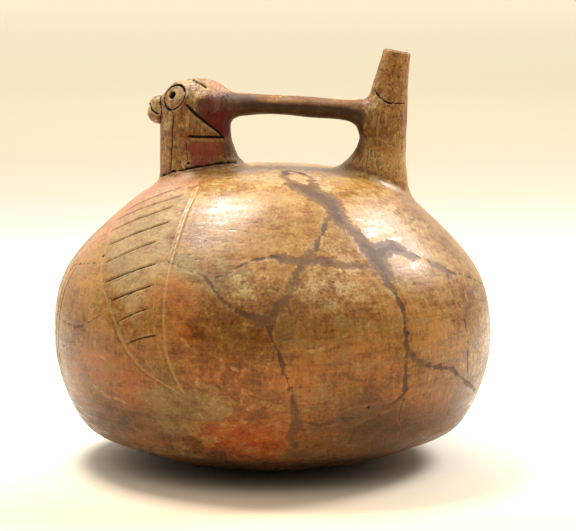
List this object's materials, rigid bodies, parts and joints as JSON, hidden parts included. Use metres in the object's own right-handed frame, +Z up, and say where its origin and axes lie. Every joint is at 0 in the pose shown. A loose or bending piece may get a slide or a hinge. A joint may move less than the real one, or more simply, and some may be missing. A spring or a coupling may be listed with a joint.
{
  "type": "falcon effigy bottle",
  "caption": "Round hollow clay bottle with a falcon's head on a neck, folded wings incised on the shoulder, a strap bridge and a tapering pouring spout.",
  "frame": {"origin": "centre of the underside, on the surface that the bottle stands on", "axes": "+Z up along the body's axis, -X towards the falcon's beak, +X towards the spout; the bottle is symmetric about the XZ plane"},
  "size_m": [0.18, 0.18, 0.1682],
  "materials": {
    "fired_clay": "burnished, unglazed, aged"
  },
  "bodies": {
    "root": {"falcon_bottle": "fired_clay"}
  },
  "joints": []
}
